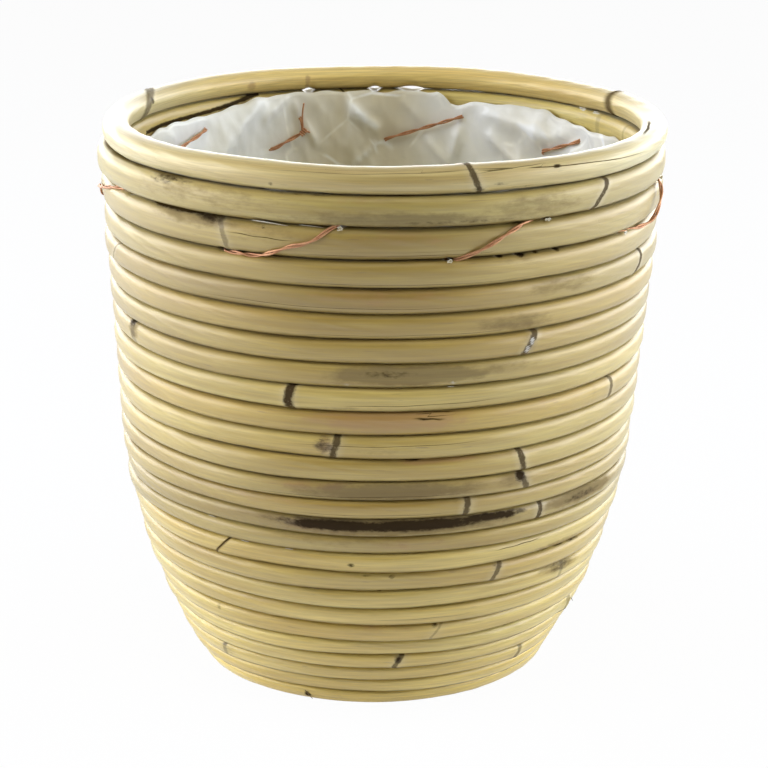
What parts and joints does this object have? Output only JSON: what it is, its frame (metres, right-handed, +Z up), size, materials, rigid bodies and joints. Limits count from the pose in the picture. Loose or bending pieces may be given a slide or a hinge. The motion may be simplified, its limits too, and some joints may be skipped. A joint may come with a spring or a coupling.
{
  "type": "flower pot",
  "caption": "Round rattan flower pot: stacked hoops of bent cane, turned in to a narrow foot, with a thin plastic film liner sewn in by copper wire.",
  "frame": {"origin": "middle of the foot's underside, on the ground", "axes": "+Z up along the pot's axis, -Y towards the side that the picture shows"},
  "size_m": [0.2442, 0.2442, 0.2433],
  "materials": {
    "cane_rim": "peeled cane, satin",
    "cane_wall": "peeled cane, satin, with dark nodes and grey stains",
    "cane_foot": "peeled cane, satin, sanded flat below",
    "cane_base": "peeled cane, satin",
    "liner_film": "thin milky film, wrinkled, half clear",
    "copper_wire": "copper-coloured, drawn"
  },
  "bodies": {
    "root": {"rim_hoop": "cane_rim", "wall_hoop_01": "cane_wall", "wall_hoop_02": "cane_wall", "wall_hoop_03": "cane_wall", "wall_hoop_04": "cane_wall", "wall_hoop_05": "cane_wall", "wall_hoop_06": "cane_wall", "wall_hoop_07": "cane_wall", "wall_hoop_08": "cane_wall", "wall_hoop_09": "cane_wall", "wall_hoop_10": "cane_wall", "wall_hoop_11": "cane_wall", "wall_hoop_12": "cane_wall", "wall_hoop_13": "cane_wall", "wall_hoop_14": "cane_wall", "wall_hoop_15": "cane_wall", "wall_hoop_16": "cane_wall", "wall_hoop_17": "cane_wall", "wall_hoop_18": "cane_wall", "wall_hoop_19": "cane_wall", "wall_hoop_20": "cane_wall", "wall_hoop_21": "cane_wall", "wall_hoop_22": "cane_wall", "wall_hoop_23": "cane_wall", "wall_hoop_24": "cane_wall", "foot_hoop": "cane_foot", "base_coil": "cane_base", "liner": "liner_film", "lacing_wire": "copper_wire"}
  },
  "joints": []
}
